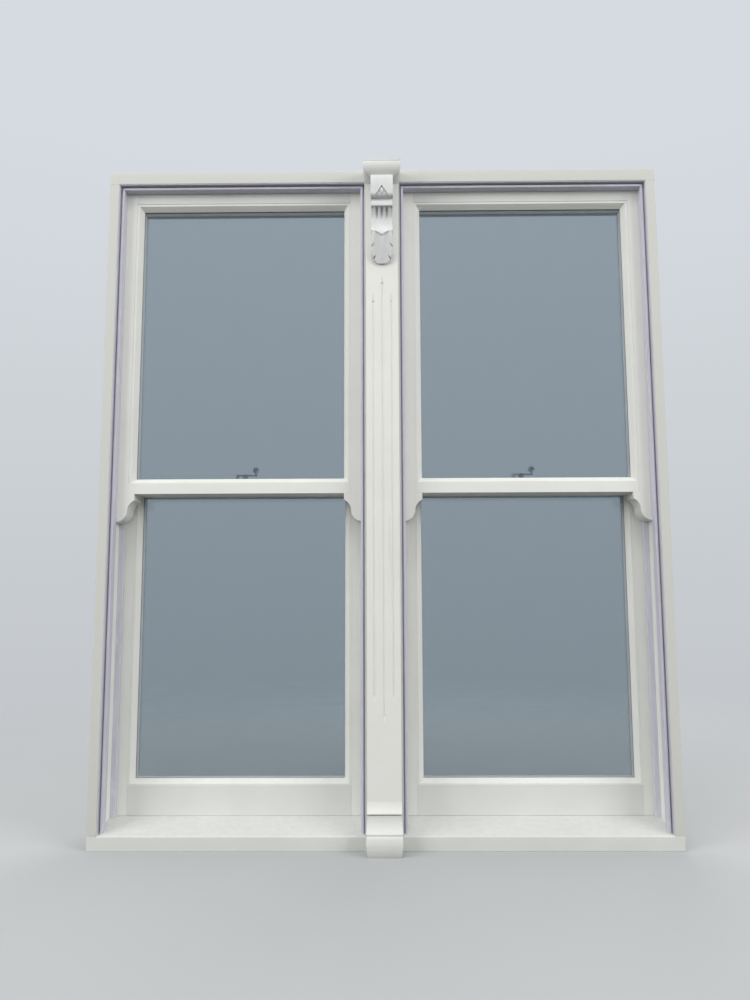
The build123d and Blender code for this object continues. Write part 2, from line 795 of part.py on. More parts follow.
def make_corbel():
    """Carved corbel: bulging block with petals, band, fluted hollow with a bracket edge, and a leaf."""
    wall = front - pilaster_thickness
    top = cap_foot
    half = corbel_width / 2
    band_half = corbel_band_width / 2
    block_end = corbel_block_height
    recess_end = block_end + corbel_recess_height
    band_end = recess_end + corbel_band_height
    hollow_end = band_end + corbel_hollow_height

    def at(reach, drop):
        return (wall - reach, top - drop)

    # Block with a rolled lower edge. Between the two petal edges its face is carved back.
    def block_side(inset):
        face = corbel_block_reach - inset
        neck = corbel_recess_reach - inset
        return (
            Polyline(at(neck, block_end), at(0, block_end), at(0, 0), at(face - 2, 0))
            + ThreePointArc(at(face - 2, 0), at(face, 0.45 * block_end), at(face - 2, 0.88 * block_end))
            + ThreePointArc(at(face - 2, 0.88 * block_end), at(face - 4.5, 0.96 * block_end),
                            at(neck, block_end))
        )

    def petal_prism(drop, spread):
        outline = closed([(0, top - drop), (spread, top - block_end - 1), (-spread, top - block_end - 1)])
        return prism_along_y(outline, wall - 2 * corbel_block_reach, wall - corbel_recess_reach / 2)

    head = prism_along_x(block_side(0), -half, half)
    ridge = petal_prism(corbel_petal_drop, corbel_petal_spread)
    field = petal_prism(corbel_petal_drop + 1.8 * corbel_petal_ridge,
                        corbel_petal_spread - corbel_petal_ridge)
    carved = prism_along_x(block_side(corbel_petal_depth), -half, half)
    raised = prism_along_x(block_side(-corbel_petal_depth / 2), -half, half)
    head = (head - ridge) + (raised & (ridge - field)) + (carved & field)
    pendant_low = top - block_end + 2 * corbel_petal_depth
    pendant_half = corbel_pendant_length / 2
    widest_point = (corbel_pendant_width / 2, -0.2 * pendant_half)
    bulge = ThreePointArc((0, -pendant_half), widest_point, (0, pendant_half))
    drop = revolve(Plane.XZ * make_face(bulge + Line((0, pendant_half), (0, -pendant_half))), Axis.Z)
    head += Pos(0, wall - corbel_block_reach + corbel_petal_depth + 1.5, pendant_low + pendant_half) * drop

    # Neck and band
    neck_reach = corbel_recess_reach - corbel_petal_depth
    neck = prism_along_x(closed([at(0, block_end), at(neck_reach, block_end), at(neck_reach, recess_end),
                                 at(0, recess_end)]), -band_half + 1, band_half - 1)
    band = prism_along_x(closed([at(0, recess_end), (*at(corbel_band_reach, recess_end), 2),
                                 (*at(corbel_band_reach, band_end), 2), at(0, band_end)]),
                         -band_half, band_half)

    # Fluted hollow that sweeps out to a bracket-shaped lip
    lip_end = hollow_end + corbel_bracket_drop
    hollow_side = (
        Polyline(at(corbel_lip_reach, hollow_end), at(corbel_lip_reach + 1, lip_end), at(0, lip_end),
                 at(0, band_end), at(corbel_recess_reach, band_end))
        + ThreePointArc(at(corbel_recess_reach, band_end),
                        at(corbel_hollow_reach, band_end + 0.55 * corbel_hollow_height),
                        at(corbel_lip_reach, hollow_end))
    )
    hollow = prism_along_x(hollow_side, -band_half, band_half)
    bracket = (
        Polyline((0, top - lip_end), (0, top), (band_half, top), (band_half, top - hollow_end + 1))
        + Spline((band_half, top - hollow_end + 1), (0.7 * band_half, top - hollow_end),
                 (0.3 * band_half, top - hollow_end - 0.55 * corbel_bracket_drop), (0, top - lip_end))
    )
    bracket_half = prism_along_y(bracket, wall - 2 * corbel_block_reach, wall)
    hollow &= bracket_half + mirror(bracket_half, Plane.YZ)
    for index in range(corbel_flute_count):
        x = (index - (corbel_flute_count - 1) / 2) * corbel_flute_pitch
        hollow -= flute_tool(x, wall, top - band_end)

    # Leaf that leans back to the wall, notched at its edges, with two lobes scooped out beside its rib
    tip = corbel_height
    middle = (hollow_end + tip) / 2
    middle_reach = (corbel_leaf_reach + corbel_leaf_tip) / 2 + corbel_leaf_swell
    leaf_side = (
        Polyline(at(corbel_leaf_reach, hollow_end), at(0, hollow_end), at(0, tip), at(corbel_leaf_tip, tip))
        + ThreePointArc(at(corbel_leaf_tip, tip), at(middle_reach, middle), at(corbel_leaf_reach, hollow_end))
    )
    leaf = prism_along_x(leaf_side, -half, half)
    upper_notch = hollow_end + 36
    lower_notch = hollow_end + 64
    widest = hollow_end + 47

    def edge(inset, drop):
        return (half - inset, top - drop)

    leaf_right = (
        Polyline((0, top - tip), (0, top - hollow_end), edge(2.5, hollow_end))
        + ThreePointArc(edge(2.5, hollow_end), edge(2, hollow_end + 18), edge(1, upper_notch))
        + Polyline(edge(1, upper_notch), edge(1 + corbel_notch_depth, upper_notch - corbel_notch_rise),
                   edge(0.5, upper_notch + corbel_notch_gape))
        + ThreePointArc(edge(0.5, upper_notch + corbel_notch_gape), edge(0, widest), edge(6, lower_notch))
        + Polyline(edge(6, lower_notch), edge(6 + corbel_low_notch_depth, lower_notch - corbel_notch_rise),
                   edge(7.5, lower_notch + corbel_notch_gape))
        + ThreePointArc(edge(7.5, lower_notch + corbel_notch_gape), edge(12.5, tip - 4), edge(19, tip))
        + Line(edge(19, tip), (0, top - tip))
    )
    leaf_half = prism_along_y(leaf_right, wall - corbel_block_reach, wall)
    leaf &= leaf_half + mirror(leaf_half, Plane.YZ)
    lean = math.degrees(math.atan((corbel_leaf_reach - corbel_leaf_tip) / (tip - hollow_end)))
    scoop = Cylinder(corbel_scoop_radius, 2 * corbel_height)
    for side in (-1, 1):
        lobe = Pos(side * corbel_scoop_spacing / 2,
                   wall - middle_reach - corbel_scoop_radius + corbel_scoop_depth, top - middle)
        cut = lobe * Rot(lean, 0, 0) * scoop
        leaf -= cut & block(-half, half, wall - corbel_block_reach, wall, top - tip, top - hollow_end)
    return head + neck + band + hollow + leaf


def flute_tool(x, wall, z_top):
    """A round cutter that follows the hollow and runs out on it."""
    start = (x, wall - corbel_recess_reach + 1, z_top + 2)
    middle = (x, wall - corbel_hollow_reach - 2.6, z_top - 0.5 * corbel_flute_run)
    end = (x, wall - corbel_hollow_reach - corbel_flute_radius - 0.4, z_top - corbel_flute_run)
    path = ThreePointArc(start, middle, end)
    section = Plane(origin=path @ 0, z_dir=path % 0) * Circle(corbel_flute_radius)
    return sweep(section, path)


# Fastener

def catch_pivot(side):
    """The fastener's pivot, over the lower meeting rail near the middle of a light."""
    from_middle = (pulley_inner + pulley_outer) / 2 - catch_offset
    return place(from_middle, side), lower_sash_front + catch_inset


def slot_outline(length, width):
    """A plate outline with round ends."""
    return SlotOverall(length, width)


def make_catch(side, name):
    x, y = catch_pivot(side)
    seat = Pos(x, y, meeting_top)
    base = extrude(slot_outline(catch_plate_length, catch_plate_width), catch_plate_thickness)
    base = chamfer(base.edges().group_by(Axis.Z)[-1], catch_chamfer)
    hub_low = catch_boss_height + catch_gap
    hub_high = hub_low + catch_hub_height
    base += extrude(Circle(catch_boss_radius), catch_boss_height)
    base += extrude(Circle(catch_pin_radius), hub_high + catch_gap)
    rivet = Pos(0, 0, hub_high + catch_gap) * extrude(Circle(catch_head_radius), catch_head_height)
    base += chamfer(rivet.edges().group_by(Axis.Z)[-1], catch_chamfer)
    save(seat * base, name + "_catch_base")

    cam_inner = keep_distance + keep_post_radius + cam_gap
    cam_outer = cam_inner + cam_thickness
    start = 180 - cam_half_angle
    wedge = make_face(
        CenterArc((0, 0), cam_outer, start, 2 * cam_half_angle)
        + CenterArc((0, 0), cam_inner, start, 2 * cam_half_angle)
        + Line(polar(cam_inner, start), polar(cam_outer, start))
        + Line(polar(cam_inner, start + 2 * cam_half_angle), polar(cam_outer, start + 2 * cam_half_angle))
    )
    lever = Pos(0, 0, cam_floor_gap) * extrude(wedge, hub_high - cam_floor_gap)
    arm_low = hub_high - lever_thickness
    lever += block(-cam_inner - cam_thickness / 2, 0, -lever_width / 2, lever_width / 2, arm_low, hub_high)
    lever += block(0, knob_distance, -lever_width / 2, lever_width / 2, arm_low, hub_high)
    lever += Pos(knob_distance, 0, arm_low) * extrude(Circle(lever_width / 2), lever_thickness)
    lever += Pos(0, 0, hub_low) * extrude(Circle(catch_hub_radius), catch_hub_height)
    lever += rod(knob_distance, 0, arm_low, knob_rise, stem_radius)
    lever += Pos(knob_distance, 0, knob_rise) * Sphere(knob_radius)
    lever -= rod(0, 0, 0, hub_high + 2, catch_pin_radius + catch_pin_clearance)
    save(seat * lever, name + "_catch_lever")

    keep_y = y - keep_distance
    plate = extrude(slot_outline(keep_plate_length, keep_plate_width), catch_plate_thickness)
    plate = chamfer(plate.edges().group_by(Axis.Z)[-1], catch_chamfer)
    post = extrude(Circle(keep_post_radius), keep_post_height)
    plate += chamfer(post.edges().group_by(Axis.Z)[-1], catch_chamfer)
    save(Pos(x, keep_y, meeting_top) * plate, name + "_catch_keep")


def polar(radius, angle):
    return (radius * math.cos(math.radians(angle)), radius * math.sin(math.radians(angle)))


# Sash lifts

def make_lifts(side, name):
    x_middle = place((pulley_inner + pulley_outer) / 2, side)
    spread = (pulley_outer - pulley_inner) / 4
    y = lower_sash_front + sash_thickness
    foot = sill_flat_height + staff_bead_height + lift_gap
    turn_to_tip = 180 + lift_hook_tip
    lifts = []
    for turn in (-1, 1):
        x = x_middle + turn * spread
        half = lift_plate_width / 2
        face = RectangleRounded(lift_plate_width, lift_plate_height, lift_plate_corner)
        plate = Pos(x, y + lift_plate_thickness, foot + lift_plate_height / 2) * extrude(
            Plane.XZ * face, lift_plate_thickness)
        center = (y + lift_plate_thickness + lift_hook_radius, foot + lift_hook_rise)
        inner = lift_hook_radius - lift_hook_thickness
        ring = make_face(
            CenterArc(center, lift_hook_radius, 180, turn_to_tip) + CenterArc(center, inner, 180, turn_to_tip)
            + Line((center[0] - lift_hook_radius, center[1]), (center[0] - inner, center[1]))
            + Line(spot(center, lift_hook_radius, lift_hook_tip), spot(center, inner, lift_hook_tip))
        )
        hook = Pos(x - lift_hook_width / 2, 0, 0) * extrude(Plane.YZ * ring, lift_hook_width)
        heel = block(x - lift_hook_width / 2, x + lift_hook_width / 2, y + lift_plate_thickness / 2,
                     y + lift_plate_thickness + lift_hook_thickness,
                     center[1] - lift_heel_drop, center[1] + lift_heel_height)
        lifts.append(plate + hook + heel)
    save_group(lifts, name + "_sash_lifts")


def spot(center, radius, angle):
    point = polar(radius, angle)
    return (center[0] + point[0], center[1] + point[1])


os.makedirs("parts", exist_ok=True)

save(make_sill(), "sill")
save(across_frame(head_section, arris_radius), "head")
save(make_jamb(-1), "left_jamb")
save(make_jamb(1), "right_jamb")
save(make_mullion(), "mullion")
save(make_pilaster(), "pilaster")
save(make_plinth(), "pilaster_plinth")
save(make_cap(), "corbel_cap")
save(make_corbel(), "corbel")
save_group(make_balance_tubes(-1) + make_balance_tubes(1), "balance_tubes")
for light_side, light_name in ((-1, "left"), (1, "right")):
    make_beads(light_side, light_name)
    make_sash(light_name + "_upper", light_side, True)
    make_sash(light_name + "_lower", light_side, False)
    make_catch(light_side, light_name)
    make_lifts(light_side, light_name)
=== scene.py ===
import bpy
import bmesh
import json
import math
from mathutils import Matrix, Vector


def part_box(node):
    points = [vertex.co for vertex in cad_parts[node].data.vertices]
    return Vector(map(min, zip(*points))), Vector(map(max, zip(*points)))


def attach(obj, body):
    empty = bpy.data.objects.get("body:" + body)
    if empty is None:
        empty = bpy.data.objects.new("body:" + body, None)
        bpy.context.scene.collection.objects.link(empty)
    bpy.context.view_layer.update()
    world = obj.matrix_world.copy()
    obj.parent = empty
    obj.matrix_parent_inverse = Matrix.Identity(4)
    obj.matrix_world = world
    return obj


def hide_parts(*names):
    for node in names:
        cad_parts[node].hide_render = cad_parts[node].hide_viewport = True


# Twin sliding sash window in painted timber: finishes, eased arrises, softened carving, screws, light, camera.
# Metres throughout. X runs across the window, +Y goes indoors and +Z is up.

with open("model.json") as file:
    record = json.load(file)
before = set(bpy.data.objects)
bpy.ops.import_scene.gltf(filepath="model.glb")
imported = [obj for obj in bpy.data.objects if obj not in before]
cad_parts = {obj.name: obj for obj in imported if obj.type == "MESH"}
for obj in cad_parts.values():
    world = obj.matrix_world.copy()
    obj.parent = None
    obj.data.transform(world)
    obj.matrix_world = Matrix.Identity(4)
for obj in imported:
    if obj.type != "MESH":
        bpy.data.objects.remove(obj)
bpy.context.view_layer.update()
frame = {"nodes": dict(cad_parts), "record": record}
nodes = frame["nodes"]
bodyOf = {name: body for body, names in frame["record"]["behaviour"]["bodies"].items() for name in names}


# Colours are written as they look on screen, 0 to 255.
def tone(red, green, blue):
    return tuple((c / 255) / 12.92 if c < 10.3 else ((c / 255 + 0.055) / 1.055) ** 2.4
                 for c in (red, green, blue))


# One socket of a material. Arithmetic on it adds the nodes.
class Wire:
    def __init__(self, finish, socket):
        self.finish = finish
        self.socket = socket

    def reckon(self, operation, first, second):
        wide = any(isinstance(w, Wire) and w.socket.type in ("VECTOR", "RGBA") for w in (first, second))
        if wide:  # a Math node would turn a colour grey
            first, second = (w if isinstance(w, (Wire, tuple)) else (w, w, w) for w in (first, second))
        kind = "VectorMath" if wide else "Math"
        return self.finish.node(kind, {"operation": operation}, {0: first, 1: second})

    def __add__(self, other):
        return self.reckon("ADD", self, other)

    def __radd__(self, other):
        return self.reckon("ADD", other, self)

    def __sub__(self, other):
        return self.reckon("SUBTRACT", self, other)

    def __rsub__(self, other):
        return self.reckon("SUBTRACT", other, self)

    def __mul__(self, other):
        return self.reckon("MULTIPLY", self, other)

    def __rmul__(self, other):
        return self.reckon("MULTIPLY", other, self)

    def __gt__(self, other):
        return self.reckon("GREATER_THAN", self, other)

    def __lt__(self, other):
        return self.reckon("LESS_THAN", self, other)


# A material, or the world, built node by node.
class Finish:
    def __init__(self, name, owner=None):
        self.owner = owner or bpy.data.materials.new(name)
        self.owner.use_nodes = True
        self.tree = self.owner.node_tree
        self.tree.nodes.clear()

    # settings come first, then socket values or links
    def node(self, kind, settings, sockets, output=0):
        made = self.tree.nodes.new("ShaderNode" + kind)
        for key, value in settings.items():
            setattr(made, key, value)
        for key, value in sockets.items():
            slot = made.inputs[key]
            if isinstance(value, Wire):
                self.tree.links.new(value.socket, slot)
            elif slot.type == "RGBA":
                slot.default_value = (*value, 1)
            else:
                slot.default_value = value
        return Wire(self, made.outputs[output]) if made.outputs else None

    def mix(self, amount, first, second):
        return self.node("Mix", {"data_type": "RGBA"}, {0: amount, 6: first, 7: second}, output=2)

    # 0 below low and 1 above high
    def rise(self, value, low, high):
        return self.node("MapRange", {"clamp": True}, {"Value": value, "From Min": low, "From Max": high})

    def noise(self, where, scale, detail=2.0, roughness=0.5):
        return self.node("TexNoise", {}, {"Vector": where, "Scale": scale, "Detail": detail,
                                          "Roughness": roughness})

    def place(self):
        return self.node("TexCoord", {}, {}, output="Object")

    def parts(self, vector):
        split = self.node("SeparateXYZ", {}, {0: vector}).socket.node
        return [Wire(self, socket) for socket in split.outputs]

    def bump(self, height, depth, strength=1.0):
        return self.node("Bump", {}, {"Height": height, "Distance": depth, "Strength": strength})

    # 1 for what the camera sees itself, through glass or in metal
    def looked(self):
        kinds = ("Is Camera Ray", "Is Transmission Ray", "Is Glossy Ray")
        straight, through, mirrored = (self.node("LightPath", {}, {}, output=kind) for kind in kinds)
        return self.rise(straight + through + mirrored, 0.0, 1.0)

    def done(self, shader, kind="OutputMaterial"):
        self.node(kind, {}, {"Surface": shader})
        return self.owner

    def surface(self, sockets):
        return self.done(self.node("BsdfPrincipled", {}, sockets))


# Cream paint, laid on with a brush along each member
paint = {
    "cream": tone(226, 227, 222),
    "thin": tone(216, 217, 210),  # where the coat is thinner
    "dust": tone(188, 188, 180),
    "speck": tone(96, 92, 84),
    "roughness": 0.42,
    "strokeAcross": 420,  # scales are per metre
    "strokeAlong": 9,
    "strokeDepth": 0.00016,
    "strokeShare": 0.22,
    "rippleScale": 38,
    "patchScale": 7.5,
    "patchShare": 0.55,
    "dustScale": 60,
    "dustShare": 0.3,
    "runStretch": (170, 170, 5),
    "runShare": 0.30,
    "runFoot": 0.40,  # heights between which the dirt runs down
    "runHead": 0.74,
    "runEnd": (0.77, 0.80),
    "speckScale": 75.0,
    "speckSize": 0.045,
    "speckRare": 0.95,
    "speckShare": 0.75,
    "frontShadeAmount": 0.0,
}


def brushedPaint(name, along, settings=paint):
    finish = Finish(name)
    place = finish.place()
    y, z = finish.parts(place)[1:]
    long, fine, even = settings["strokeAlong"], settings["strokeAcross"], settings["strokeAcross"] / 4
    stretch = {"x": (long, fine, fine), "z": (fine, fine, long), "none": (even, even, even)}[along]
    strokes = finish.noise(place * stretch, 1.0, 3.0, 0.62)
    ripple = finish.noise(place, settings["rippleScale"], 2.0)
    patches = finish.rise(finish.noise(place, settings["patchScale"], 4.0, 0.6), 0.35, 0.72)
    # dust lies on what faces up, and a little of it runs down the lower sashes
    facing = finish.parts(finish.node("NewGeometry", {}, {}, output="Normal"))[2]
    drift = finish.rise(finish.noise(place, settings["dustScale"], 5.0, 0.7), 0.42, 0.80)
    lying = finish.rise(facing, 0.55, 0.98) * drift
    runs = finish.rise(finish.noise(place * settings["runStretch"], 1.0, 2.0), 0.54, 0.74)
    fading = finish.rise(z, settings["runFoot"], settings["runHead"])
    below = fading * (1 - finish.rise(z, *settings["runEnd"]))
    cell = finish.node("TexVoronoi", {}, {"Vector": place, "Scale": settings["speckScale"]})
    pick = finish.parts(Wire(finish, cell.socket.node.outputs["Color"]))[0]
    specks = (cell < settings["speckSize"]) * (pick > settings["speckRare"])
    colour = finish.mix(patches * settings["patchShare"], settings["cream"], settings["thin"])
    colour = finish.mix(strokes * settings["strokeShare"], colour, settings["thin"])
    # painted shade: the frame's outer face, in front of frontFace, is mixed towards a darker tone
    if settings["frontShadeAmount"]:
        shadedFront = y < settings["frontFace"]
        colour = finish.mix(shadedFront * settings["frontShadeAmount"], colour, settings["weathered"])
    colour = finish.mix(lying * settings["dustShare"], colour, settings["dust"])
    colour = finish.mix(runs * below * settings["runShare"], colour, settings["dust"])
    colour = finish.mix(specks * settings["speckShare"], colour, settings["speck"])
    height = strokes * 0.8 + ripple * 1.5
    return finish.surface({
        "Base Color": colour,
        "Roughness": settings["roughness"] + strokes * 0.10 + lying * 0.2,
        "Normal": finish.bump(height, settings["strokeDepth"], 0.6),
    })


uprightPaint = brushedPaint("uprightPaint", "z")
meetingPaint = brushedPaint("meetingPaint", "x")
beadPaint = brushedPaint("beadPaint", "none")

# The sill, the plinth and the other rails are painted a little greyer, as painted shade
shadedRailPaint = dict(paint, cream=tone(215, 217, 213), thin=tone(205, 207, 202))
acrossPaint = brushedPaint("acrossPaint", "x", shadedRailPaint)

# The frame's outer face is painted a shade darker than the rest as painted shade, and its other faces are
# painted lighter than the plain paint as painted light
liningPaint = dict(paint, cream=tone(236, 238, 231), thin=tone(226, 227, 219),
                   frontShadeAmount=0.9, frontFace=-0.080, weathered=tone(196, 197, 191))
jambPaint = brushedPaint("jambPaint", "z", liningPaint)
headPaint = brushedPaint("headPaint", "x", liningPaint)

# The corbel's paint is a neutral white, with painted shade in its hollows and darker painted shade in its cuts
corbelLook = {
    "white": tone(216, 217, 217),
    "hollow": tone(156, 156, 154),
    "cutShade": tone(92, 90, 86),
    "patchShare": 0.2,
    "hollowShare": 0.45,
    "cutShadeShare": 0.7,
    "roughness": 0.5,
    "grainDepth": 0.0002,
}


def carvedPaint(settings=corbelLook):
    finish = Finish("carvedPaint")
    place = finish.place()
    sharpness = finish.node("NewGeometry", {}, {}, output="Pointiness")
    # painted shade: hollow and sharply cut places, found by their pointiness, are painted darker
    hollows = 1 - finish.rise(sharpness, 0.44, 0.5)
    cuts = 1 - finish.rise(sharpness, 0.36, 0.44)
    patches = finish.rise(finish.noise(place, 30, 4.0, 0.6), 0.4, 0.75)
    grain = finish.noise(place * (60, 60, 12), 10.0, 3.0)
    colour = finish.mix(patches * settings["patchShare"], settings["white"], settings["hollow"])
    colour = finish.mix(hollows * settings["hollowShare"], colour, settings["hollow"])
    colour = finish.mix(cuts * settings["cutShadeShare"], colour, settings["cutShade"])
    return finish.surface({
        "Base Color": colour,
        "Roughness": settings["roughness"] + patches * 0.1,
        "Normal": finish.bump(grain, settings["grainDepth"], 0.5),
    })


# Lilac-white plastic beads with a streaky film
beadLook = {
    "face": tone(204, 203, 214),
    "streak": tone(184, 183, 197),
    "chalk": tone(218, 219, 224),
    "topAbove": 1.636,  # height above which the streaks run across
    "streakAcross": 330,
    "streakAlong": 7,
    "streakShare": 0.65,
    "streakDepth": 0.00008,
    "chalkShare": 0.45,
    "roughness": 0.36,
}


def streakyPlastic(settings=beadLook):
    finish = Finish("streakyPlastic")
    place = finish.place()
    top = finish.parts(place)[2] > settings["topAbove"]
    long, fine = settings["streakAlong"], settings["streakAcross"]
    where = finish.mix(top, place * (fine, fine, long), place * (long, fine, fine))
    streaks = finish.rise(finish.noise(where, 1.0, 4.0, 0.65), 0.40, 0.68)
    blotches = finish.rise(finish.noise(place * (26, 26, 9), 3.0, 5.0, 0.7), 0.52, 0.66)
    colour = finish.mix(streaks * settings["streakShare"], settings["face"], settings["streak"])
    colour = finish.mix(blotches * settings["chalkShare"], colour, settings["chalk"])
    return finish.surface({
        "Base Color": colour,
        "Roughness": settings["roughness"] + streaks * 0.12,
        "Normal": finish.bump(streaks, settings["streakDepth"], 0.6),
    })


plastic = streakyPlastic()

# Glass of the sealed units: a clear pane outside and one indoors whose tint is painted shade, darkening all
# that is seen through it.
# Light from the lamps passes straight through both.
glassLook = {
    "clear": (0.95, 0.96, 0.955),
    "paneShade": (0.36, 0.43, 0.48),
    "forLamps": (0.86, 0.88, 0.89),
    "ior": 1.5,
}


def paneGlass(name, tint, settings=glassLook):
    finish = Finish(name)
    glass = finish.node("BsdfPrincipled", {}, {
        "Base Color": tint, "Roughness": 0.0, "IOR": settings["ior"],
        "Transmission Weight": 1.0, "Specular IOR Level": 0.5,
    })
    clear = finish.node("BsdfTransparent", {}, {"Color": settings["forLamps"]})
    fromLamp = finish.node("LightPath", {}, {}, output="Is Shadow Ray")
    return finish.done(finish.node("MixShader", {}, {0: fromLamp, 1: glass, 2: clear}))


clearGlass = paneGlass("clearGlass", glassLook["clear"])
shadedPaneGlass = paneGlass("shadedPaneGlass", glassLook["paneShade"])


def mouldedPlastic(name, colour, dull, roughness):
    finish = Finish(name)
    place = finish.place()
    grain = finish.noise(place, 900, 2.0)
    cloud = finish.rise(finish.noise(place, 22, 3.0), 0.35, 0.75)
    return finish.surface({
        "Base Color": finish.mix(cloud * 0.5, colour, dull),
        "Roughness": roughness + cloud * 0.08,
        "Normal": finish.bump(grain, 0.00003, 0.5),
    })


spacerGrey = mouldedPlastic("spacerGrey", tone(206, 208, 210), tone(188, 190, 193), 0.4)
sealantGrey = mouldedPlastic("sealantGrey", tone(84, 84, 86), tone(66, 66, 68), 0.6)
tubeWhite = mouldedPlastic("tubeWhite", tone(226, 227, 226), tone(206, 206, 200), 0.28)

# Chrome for the fittings and zinc plate for the balance rods
chromeLook = {"bright": tone(206, 208, 212), "film": tone(160, 160, 162), "roughness": 0.07}
zincLook = {"bright": tone(176, 178, 180), "film": tone(140, 138, 128), "roughness": 0.34}


def metal(name, settings):
    finish = Finish(name)
    place = finish.place()
    smear = finish.rise(finish.noise(place, 130, 4.0, 0.6), 0.42, 0.72)
    fine = finish.noise(place, 1400, 2.0)
    return finish.surface({
        "Base Color": finish.mix(smear * 0.35, settings["bright"], settings["film"]),
        "Metallic": 1.0,
        "Roughness": settings["roughness"] + smear * 0.12,
        "Normal": finish.bump(fine, 0.00002, 0.25),
    })


chrome = metal("chrome", chromeLook)
zinc = metal("zinc", zincLook)
print("materials made")


# Which finish each piece takes
def finishFor(name):
    if name.endswith("glass"):
        return clearGlass
    if name.endswith("spacer"):
        return spacerGrey
    if name.endswith("sealant"):
        return sealantGrey
    if name.endswith("balance_tubes"):
        return tubeWhite
    if name.endswith("balance_rods"):
        return zinc
    if "catch" in name or name.endswith("lifts"):
        return chrome
    if name.endswith(("outer_beads", "parting_beads")):
        return plastic
    if name.endswith("beads"):
        return beadPaint
    if name.endswith(("jamb", "mullion")):
        return jambPaint
    if name == "head":
        return headPaint
    if name.endswith(("stile", "pilaster")):
        return uprightPaint
    if name.endswith("meeting_rail"):
        return meetingPaint
    return acrossPaint


for name, piece in nodes.items():
    piece.data.materials.clear()
    piece.data.materials.append(finishFor(name))

# Painted timber gets eased arrises, as sandpaper and paint leave them. The pilaster's stay as cut.
easing = {
    "width": 0.0007,
    "steps": 2,
    "sharpAngle": 28,  # degrees between faces
    "smoothAngle": 35,
    "shortest": 0.006,  # shorter edges stay sharp
    "mergeWithin": 0.00001,
    "flatWithin": 0.6,  # degrees, for faces that count as one
}
timber = [name for name in nodes
          if finishFor(name).name.endswith("Paint") and name not in ("corbel", "pilaster")]


def bareCopy(name, settings=easing):
    mesh = bpy.data.meshes.new(name + ".eased")
    work = bmesh.new()
    work.from_mesh(nodes[name].data)
    bmesh.ops.remove_doubles(work, verts=work.verts, dist=settings["mergeWithin"])
    bmesh.ops.dissolve_limit(work, angle_limit=math.radians(settings["flatWithin"]),
                             verts=work.verts, edges=work.edges)
    work.to_mesh(mesh)
    work.free()
    for layer in ("custom_normal", "sharp_edge", "sharp_face"):
        if layer in mesh.attributes:
            mesh.attributes.remove(mesh.attributes[layer])
    return mesh


def markArrises(mesh, settings):
    work = bmesh.new()
    work.from_mesh(mesh)
    weight = work.edges.layers.float.new("bevel_weight_edge")
    for edge in work.edges:
        if len(edge.link_faces) == 2 and edge.calc_length() > settings["shortest"]:
            if edge.calc_face_angle() > math.radians(settings["sharpAngle"]):
                edge[weight] = 1.0
    for face in work.faces:
        face.smooth = True
    work.to_mesh(mesh)
    work.free()


# A new object in the scene
def linked(name, data):
    thing = bpy.data.objects.new(name, data)
    bpy.context.scene.collection.objects.link(thing)
    return thing


def easedPiece(name, settings=easing):
    mesh = bareCopy(name)
    markArrises(mesh, settings)
    mesh.set_sharp_from_angle(angle=math.radians(settings["smoothAngle"]))
    mesh.materials.append(finishFor(name))
    piece = linked(name + ".eased", mesh)
    bevel = piece.modifiers.new("arris", "BEVEL")
    bevel.limit_method = "WEIGHT"
    bevel.width = settings["width"]
    bevel.segments = settings["steps"]
    bevel.use_clamp_overlap = False
    bevel.harden_normals = True
    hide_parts(name)
    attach(piece, bodyOf[name])


for name in timber:
    easedPiece(name)
print("eased", len(timber), "timber pieces")


# Each unit's two panes, told apart by the side of the unit that they lie on
def sortedPanes(name):
    low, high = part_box(name)
    mesh = nodes[name].data.copy()
    mesh.materials.append(shadedPaneGlass)
    for face in mesh.polygons:
        face.material_index = 1 if face.center.y > (low.y + high.y) / 2 else 0
    piece = linked(name + ".sorted", mesh)
    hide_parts(name)
    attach(piece, bodyOf[name])


for name in nodes:
    if name.endswith("glass"):
        sortedPanes(name)
print("panes sorted")

# The corbel's cuts are softened by old paint
carving = {
    "grain": 0.00075,  # voxel size
    "softness": 0.5,
    "smoothings": 1,
}


def carvedCorbel(settings=carving):
    piece = linked("corbel.carved", bareCopy("corbel"))
    remesh = piece.modifiers.new("remesh", "REMESH")
    remesh.mode = "VOXEL"
    remesh.voxel_size = settings["grain"]
    remesh.use_smooth_shade = True
    soften = piece.modifiers.new("soften", "SMOOTH")
    soften.factor = settings["softness"]
    soften.iterations = settings["smoothings"]
    bpy.context.view_layer.update()
    shape = piece.evaluated_get(bpy.context.evaluated_depsgraph_get())
    mesh = bpy.data.meshes.new_from_object(shape)
    mesh.materials.clear()
    mesh.materials.append(carvedPaint())
    piece.modifiers.clear()
    piece.data = mesh
    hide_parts("corbel")
    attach(piece, "frame")
    print("corbel carved with", len(mesh.polygons), "faces")


carvedCorbel()


# Raised slotted screw heads on the plates of the fittings
screwLook = {
    "height": 0.00035,
    "slotShare": 0.24,  # slot width to radius
    "slotDepth": 0.00025,
    "rimShare": 0.995,  # foot and top of the raised halves
    "crownShare": 0.9,
    "flats": 28,  # sides of the head
}
# Each fitting's screws: radius, the plate's thickness, distance from its middle and turn of the slot
catchScrews = {"radius": 0.0030, "plate": 0.0025, "places": ((-0.017, 0.5), (0.017, 1.9))}
keepScrews = {"radius": 0.0019, "plate": 0.0025, "places": ((-0.0115, 2.4), (0.0115, 0.9))}
liftScrews = {
    "radius": 0.0024,
    "plate": 0.003,
    "inset": 0.021,  # lift's middle from the end of the pair
    "spread": 0.0168,
    "rows": ((0.0070, 3.0), (0.0270, 5.28824)),  # height and turn
}


